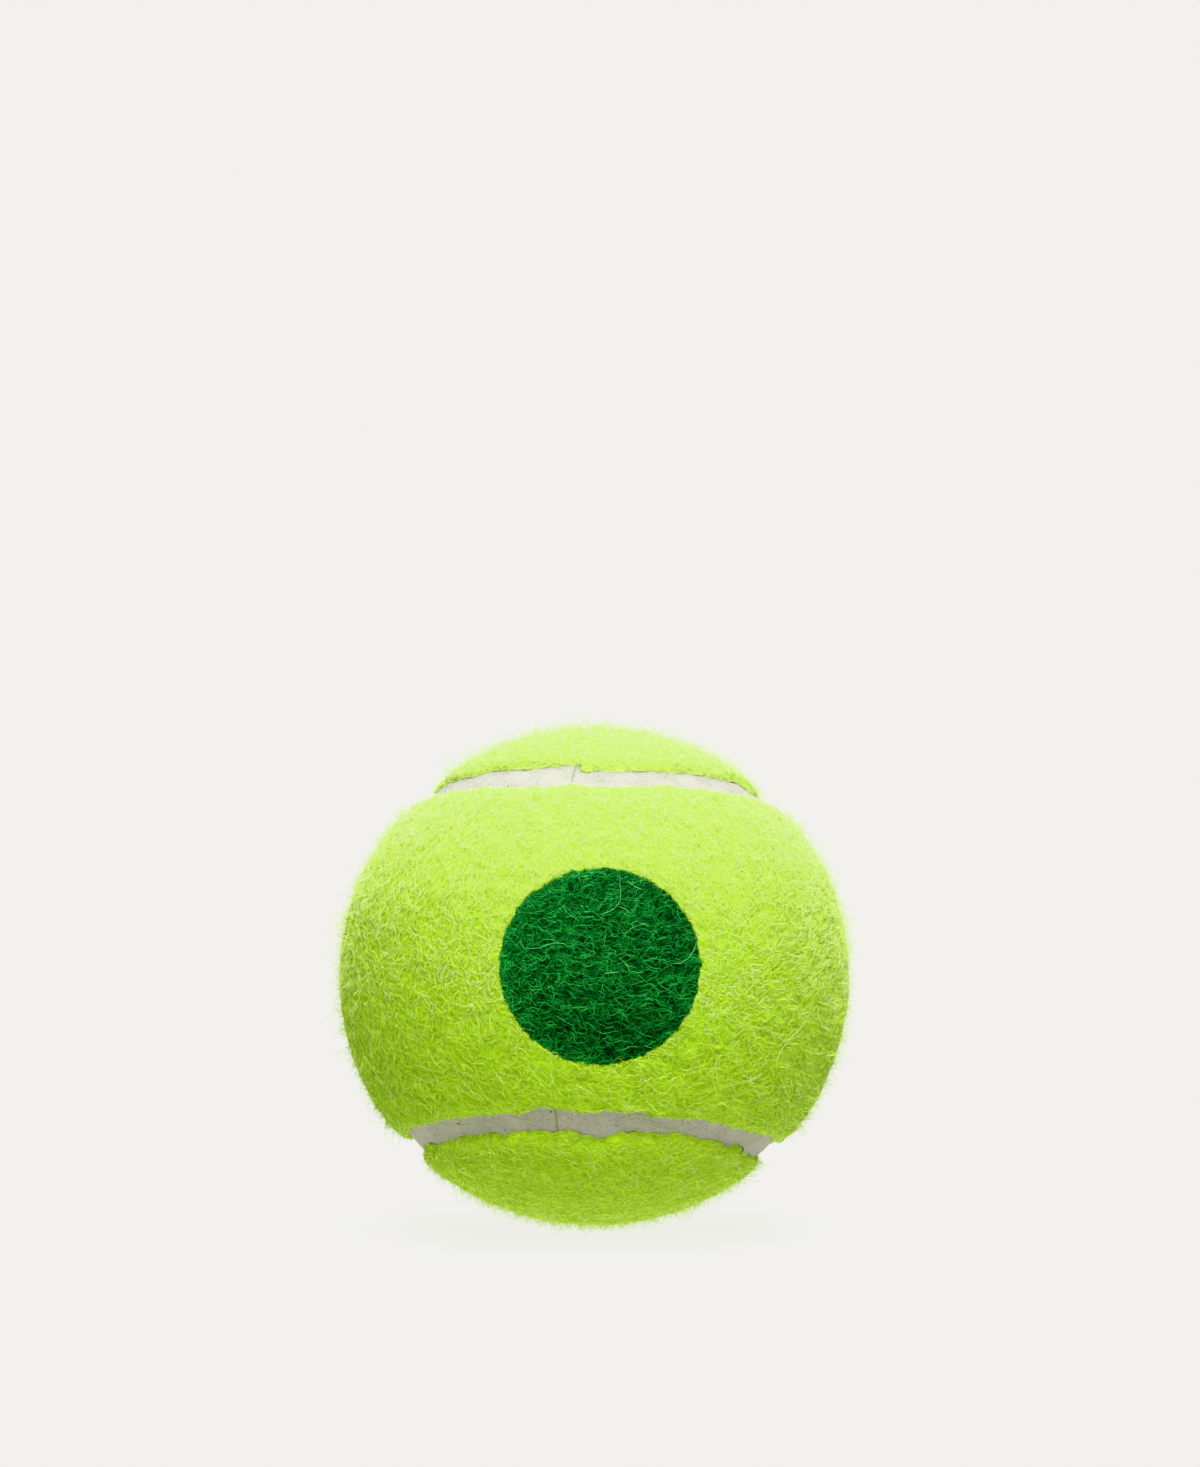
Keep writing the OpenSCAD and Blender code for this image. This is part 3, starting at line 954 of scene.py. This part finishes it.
# Loose ends that stand up out of the mat
total = int(84000 * DENSITY)
roots = even_roots(int(total * 1.08), g, 2.0)
FUZZ_STEPS = np.array([0, 0.3, 0.7, 1.0])
fuzz = {"a": [], "b": []}
fuzz_spot = []
for panel in ("a", "b"):
    f, _ = depth(roots * BAND, panel)
    root = roots[f > -0.02]
    shy = 1.0 if panel == "a" else 0.3 + 0.7 * smooth(f[f > -0.02], 0.2, 2.2)  # shorter along the seam
    n = len(root)
    long = g.uniform(size=n) < 0.12
    length = g.uniform(0.8, 2.4, n) + long * g.uniform(0.6, 2.0, n)
    rise = shy * g.beta(1.5, 2.5, n) * np.where(long, 3.2, 2.0)
    rise = rise * np.clip(1 + 0.80 * tuft(root * BALL), 0.2, 2.6)
    path = grow(root, wool_heading(root, g, 1.2), length * 0.8, g.normal(0, 0.7, n), g.uniform(0.2, 0.8, n), FUZZ_STEPS, g)
    path, f = keep_on_panel(path, panel, g, -0.30, 0.0, 0.3)
    r = felt_radius(path.reshape(-1, 3) * BALL, f.reshape(-1), panel).reshape(f.shape)
    t = FUZZ_STEPS[None]
    up = 0.12 + np.minimum(rise, length * 0.8)[:, None] * (1.35 * t - 0.35 * t ** 2)
    full = path * (r + up)[..., None]
    rad = g.uniform(0.014, 0.025, n)[:, None] * profile(FUZZ_STEPS, 0.3)[None]
    # Painted light: loose ends are painted paler on the upper side and at the very bottom.
    colour = np.clip(0.31 + calm(root) * g.uniform(-0.31, 0.31, n) + 0.34 * painted_light_paleness(root)
                     + calm(root) * 0.4 * (g.uniform(size=n) < 0.12), 0, 1)
    if panel == "b":
        near = in_spot(root) > -6
        inked_part, plain_part = cut_at_spot(full[near], rad[near], colour[near], FUZZ_STEPS, 0.3)
        keep = g.uniform(size=len(inked_part[0])) < 0.25
        fuzz_spot.append((inked_part[0][keep], inked_part[1][keep], 0.55 + 0.38 * inked_part[2][keep]))
        fuzz["b"] += [(full[~near], rad[~near], colour[~near]), plain_part]
    else:
        fuzz["a"].append((full, rad, colour))


# ---------------------------------------------------------------- strays

CAMERA_UP = math.radians(3)
CAMERA_AWAY = 12 * BALL


def on_front(points, radius):
    """Points on the ball's front at the place where they show, given in mm
    right of and above its centre in the view from the front."""
    back = np.array([0, -math.cos(CAMERA_UP), math.sin(CAMERA_UP)])
    up = np.array([0, math.sin(CAMERA_UP), math.cos(CAMERA_UP)])
    d = unit(np.array([[u, 0, 0] for u, _ in points]) + np.array([v for _, v in points])[:, None] * up
             - CAMERA_AWAY * back)
    o = CAMERA_AWAY * back
    b = d @ o
    inside = b ** 2 - CAMERA_AWAY ** 2 + radius ** 2
    return o + d * (-b - np.sqrt(np.maximum(inside, 0)))[:, None]


def stray(points, lift, count=9):
    """A long loose hair through given points, lying on what is under it."""
    p = on_front(points, BALL - 0.3)
    t = np.concatenate([[0], np.cumsum(np.linalg.norm(np.diff(p, axis=0), axis=1))])
    s = np.linspace(0, t[-1], 4 * count)
    fine = np.stack([np.interp(s, t, p[:, k]) for k in range(3)], 1)
    for _ in range(3):
        fine[1:-1] = (fine[:-2] + 2 * fine[1:-1] + fine[2:]) / 4
    q = unit(fine[np.linspace(0, len(fine) - 1, count).round().astype(int)])
    r = np.full(count, BAND)
    for panel in ("a", "b"):
        f, _ = depth(q * BAND, panel)
        r = np.maximum(r, np.where(f > -0.1, felt_radius(q * BALL, f, panel) + 0.42, 0))
    return q * (r - (r <= BAND) * squat(q) + lift)[:, None]


ON_SPOT = [
    [(-9.2, 5.3), (-9.7, 4.3), (-9.6, 3.6), (-8.4, 3.4), (-6.8, 3.5), (-5.7, 4.1), (-4.1, 4.3), (-3.2, 3.3)],
    [(3.3, 13.6), (3.3, 11.7), (3.5, 9.9), (2.9, 8.8), (2.1, 8.3), (0.3, 7.6)],
    [(2.9, 8.9), (4.1, 8.5), (4.6, 7.9)],
    [(13.3, 4.5), (12.9, 3.2), (12.1, 2.1), (11.0, 1.4), (9.8, 1.6)],
    [(7.0, 6.8), (5.9, 6.5), (4.8, 6.1), (3.8, 5.0)],
    [(3.2, 2.3), (4.1, 1.4), (4.7, 0.3)],
    [(4.1, 12.3), (5.3, 11.4), (6.3, 11.0)],
    [(1.2, 0.2), (3.3, 0.4)],
    [(-10.6, 10.0), (-9.9, 9.2), (-9.4, 8.6)],
    [(10.3, -8.4), (11.5, -7.7), (12.6, -8.0)],
]
ON_SEAM = [
    [(5.9, -18.0), (6.2, -19.2), (6.9, -19.9), (8.0, -20.4), (9.6, -20.8), (11.1, -20.9), (12.0, -20.3), (12.5, -19.4), (12.0, -18.7), (11.1, -18.5)],
    [(3.3, -19.3), (4.7, -18.9), (6.2, -18.7), (8.0, -19.4)],
    [(-22.0, -19.7), (-20.3, -20.0), (-18.5, -20.3), (-16.2, -20.0)],
    [(-18.9, -19.2), (-18.4, -19.6), (-18.0, -20.1), (-18.6, -20.3)],
    [(-11.5, -18.9), (-9.5, -19.5), (-8.0, -19.6)],
    [(-5.2, -17.3), (-4.9, -18.4), (-4.6, -19.6), (-4.7, -20.4)],
]
ON_FELT = [
    [(-28.8, -7.1), (-28.6, -11.1), (-27.6, -14.0), (-26.2, -15.4), (-25.1, -16.0)],
    [(-27.9, -12.2), (-26.9, -13.9), (-26.2, -15.6), (-26.0, -16.6)],
    [(26.3, -4.0), (27.6, -5.5), (26.6, -6.9), (24.9, -8.4), (23.5, -10.4), (23.3, -11.9)],
    [(26.9, -7.6), (25.6, -8.2), (24.1, -8.5)],
    [(-16.0, 5.6), (-14.4, 4.9), (-13.0, 4.0)],
    [(-21.6, -9.4), (-20.4, -11.4), (-19.4, -12.4)],
]
SPECKS = [[(-15.35, 7.30), (-15.05, 7.17)], [(19.02, 13.50), (19.20, 13.38)], [(23.75, 9.18), (23.9, 9.22)],
          [(18.85, -23.5), (19.5, -23.1), (19.9, -22.9)], [(-5.95, -18.2), (-5.6, -18.2)],
          [(-18.3, -19.7), (-17.9, -19.8)], [(-11.75, 25.6), (-11.6, 25.6)]]


def stray_piece(name, paths, lift, thick, material, shades, seed):
    full = np.stack([stray(p, lift) for p in paths])
    t = np.linspace(0, 1, full.shape[1])
    rad = np.repeat((thick * profile(t, 0.1))[None], len(paths), 0)
    finish_piece(tubes(name, full, rad, np.asarray(shades), seed), material, "felt_nap")


def write(name, parts, material, slot, limit, seed):
    paths, radii, colours = (np.concatenate([p[n] for p in parts]) for n in range(3))
    order = np.argsort(np.arctan2(paths[:, 2, 1], paths[:, 2, 0]), kind="stable")
    pieces = max(1, math.ceil(len(order) / limit))
    for n, rows in enumerate(np.array_split(order, pieces)):
        label = name if pieces == 1 else f"{name}_{n + 1}"
        finish_piece(tubes(label, paths[rows], radii[rows], colours[rows], seed + n), material, slot)


for panel in ("a", "b"):
    write("nap_wool_" + panel, outside[panel], wool, "felt_nap", MAT_LIMIT, 100 if panel == "a" else 200)
    write("nap_fuzz_" + panel, fuzz[panel], loose, "felt_nap", FUZZ_LIMIT, 300 if panel == "a" else 400)
write("spot_wool", inside_spot, inked, "spot_ink", MAT_LIMIT, 500)
write("spot_fuzz", fuzz_spot, inked, "spot_ink", FUZZ_LIMIT, 600)
stray_piece("stray_hairs_spot", ON_SPOT, 0.14, 0.032, inked, np.full(len(ON_SPOT), 0.985), 700)
stray_piece("stray_hairs_seam", ON_SEAM, 0.12, 0.028, wool, np.full(len(ON_SEAM), 0.5), 710)
stray_piece("stray_hairs_nap", ON_FELT, 0.30, 0.030, loose, np.full(len(ON_FELT), 0.9), 720)
stray_piece("lint_specks", SPECKS, 0.26, 0.085, inked, np.full(len(SPECKS), 0.45), 730)


# ---------------------------------------------------------------- inner parts

INNER = {
    "core_half_left": plain_rubber("core_rubber_left", (0.030, 0.030, 0.032), (0.055, 0.054, 0.056)),
    "core_half_right": plain_rubber("core_rubber_right", (0.030, 0.030, 0.032), (0.055, 0.054, 0.056)),
    "core_joint_cement": plain_rubber("joint_cement", (0.30, 0.22, 0.12), (0.42, 0.33, 0.20), 0.5),
    "core_cement_coat": plain_rubber("cover_cement_inner", (0.42, 0.38, 0.26), (0.55, 0.50, 0.36), 0.5),
    "back_cement_a": plain_rubber("cover_cement_a", (0.45, 0.42, 0.30), (0.58, 0.54, 0.40), 0.5),
    "back_cement_b": plain_rubber("cover_cement_b", (0.45, 0.42, 0.30), (0.58, 0.54, 0.40), 0.5),
}
for name, material in INNER.items():
    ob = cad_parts[name]
    ob.data.materials.clear()
    ob.data.materials.append(material)


# ---------------------------------------------------------------- stage

PALE = (1.0697, 1.0602, 1.0223)  # shows as the photo's plain backdrop


def backdrop_world():
    w = bpy.data.worlds.new("studio")
    scene.world = w
    w.use_nodes = True
    nt = w.node_tree
    nt.nodes.clear()
    out = nt.nodes.new("ShaderNodeOutputWorld")
    light = nt.nodes.new("ShaderNodeBackground")
    light.inputs["Color"].default_value = (0.98, 0.99, 1.0, 1)
    co = nt.nodes.new("ShaderNodeTexCoord")
    sep = nt.nodes.new("ShaderNodeSeparateXYZ")
    nt.links.new(co.outputs["Generated"], sep.inputs["Vector"])
    rise = nt.nodes.new("ShaderNodeMapRange")
    for n, v in zip((1, 2, 3, 4), (0.0, 0.9) + WORLD):
        rise.inputs[n].default_value = v
    nt.links.new(sep.outputs["Z"], rise.inputs[0])
    nt.links.new(rise.outputs[0], light.inputs["Strength"])
    seen = nt.nodes.new("ShaderNodeBackground")
    seen.inputs["Color"].default_value = PALE + (1,)
    seen.inputs["Strength"].default_value = 1.0
    ray = nt.nodes.new("ShaderNodeLightPath")
    m = nt.nodes.new("ShaderNodeMixShader")
    nt.links.new(ray.outputs["Is Camera Ray"], m.inputs["Fac"])
    nt.links.new(light.outputs[0], m.inputs[1])
    nt.links.new(seen.outputs[0], m.inputs[2])
    nt.links.new(m.outputs[0], out.inputs["Surface"])


def floor_material():
    """Pale and even as the backdrop, with a faint shadow under the ball."""
    m = bpy.data.materials.new("floor_pale")
    m.use_nodes = True
    nt = m.node_tree
    nt.nodes.clear()
    out = nt.nodes.new("ShaderNodeOutputMaterial")
    glow = nt.nodes.new("ShaderNodeEmission")
    glow.inputs["Color"].default_value = PALE + (1,)
    shaded = nt.nodes.new("ShaderNodeBsdfDiffuse")
    shaded.inputs["Color"].default_value = SHADED
    near = nt.nodes.new("ShaderNodeMixShader")
    co = nt.nodes.new("ShaderNodeTexCoord")
    length = nt.nodes.new("ShaderNodeVectorMath")
    length.operation = "LENGTH"
    flat = nt.nodes.new("ShaderNodeMapping")
    flat.inputs["Scale"].default_value = (1, 1, 0)
    nt.links.new(co.outputs["Object"], flat.inputs["Vector"])
    nt.links.new(flat.outputs["Vector"], length.inputs[0])
    share = nt.nodes.new("ShaderNodeMapRange")
    share.interpolation_type = "SMOOTHSTEP"
    for n, v in zip((1, 2, 3, 4), (0.010, 0.090, SHADOW, 0.0)):
        share.inputs[n].default_value = v
    nt.links.new(length.outputs["Value"], share.inputs[0])
    nt.links.new(share.outputs[0], near.inputs["Fac"])
    nt.links.new(glow.outputs[0], near.inputs[1])
    nt.links.new(shaded.outputs[0], near.inputs[2])
    bounce = nt.nodes.new("ShaderNodeEmission")
    bounce.inputs["Color"].default_value = (1.0, 1.0, 0.93, 1)
    reach_of = nt.nodes.new("ShaderNodeMapRange")  # the lit floor ends not far off
    for n, v in zip((1, 2, 3, 4), (0.10, 0.26, BOUNCE, 0.15 * BOUNCE)):
        reach_of.inputs[n].default_value = v
    nt.links.new(length.outputs["Value"], reach_of.inputs[0])
    nt.links.new(reach_of.outputs[0], bounce.inputs["Strength"])
    ray = nt.nodes.new("ShaderNodeLightPath")
    m1 = nt.nodes.new("ShaderNodeMixShader")
    nt.links.new(ray.outputs["Is Camera Ray"], m1.inputs["Fac"])
    nt.links.new(bounce.outputs[0], m1.inputs[1])
    nt.links.new(near.outputs[0], m1.inputs[2])
    nt.links.new(m1.outputs[0], out.inputs["Surface"])
    return m


WORLD = (0.15, 0.58)  # at the horizon and overhead
BOUNCE = 1.36  # what the lit floor gives back
SHADOW = 0.11
SHADED = (0.56, 0.555, 0.54, 1)
backdrop_world()
a = np.linspace(0, 2 * np.pi, 96, endpoint=False)
ring = np.stack([np.cos(a) * 4000, np.sin(a) * 4000, np.full(96, -33.0)], 1)
centre = np.array([[0, 0, -33.0]])
tri = np.stack([np.zeros(96, int), 1 + np.arange(96), 1 + (np.arange(96) + 1) % 96], 1)
floor = mesh_object("floor", np.concatenate([centre, ring]), tri, smooth_faces=False)
floor.data.materials.append(floor_material())


def area(name, at, size, power, colour=(1, 1, 1)):
    data = bpy.data.lights.new(name, "AREA")
    data.shape = "DISK"
    data.size = size
    data.energy = power
    data.color = colour
    ob = bpy.data.objects.new(name, data)
    scene.collection.objects.link(ob)
    ob.location = at
    from mathutils import Vector
    ob.rotation_euler = (-Vector(at)).to_track_quat("-Z", "Y").to_euler()
    return ob


area("overhead", (0.038, -0.39, 0.55), 0.50, 7.8, (1, 1, 1.08))
area("back_top", (0.0, 0.34, 0.52), 0.50, 5.0, (1, 1, 1.14))


# ---------------------------------------------------------------- camera

def camera():
    data = bpy.data.cameras.new("camera")
    data.sensor_width = 36.0
    data.lens = 3062.0 * 36.0 / 1467.0
    data.shift_x = 5.7 / 1467.0
    data.shift_y = 241.5 / 1467.0
    data.clip_start = 0.01
    data.clip_end = 100.0
    ob = bpy.data.objects.new("camera", data)
    scene.collection.objects.link(ob)
    from mathutils import Matrix
    e = CAMERA_UP
    back = np.array([0, -math.cos(e), math.sin(e)])
    up = np.array([0, math.sin(e), math.cos(e)])
    right = np.array([1.0, 0, 0])
    m = np.eye(4)
    m[:3, 0], m[:3, 1], m[:3, 2], m[:3, 3] = right, up, back, back * CAMERA_AWAY * MM
    ob.matrix_world = Matrix(m.tolist())
    scene.camera = ob


camera()
scene.view_settings.view_transform = "Khronos PBR Neutral"
scene.view_settings.look = "None"
scene.view_settings.exposure = 0.0
scene.view_settings.gamma = 1.0
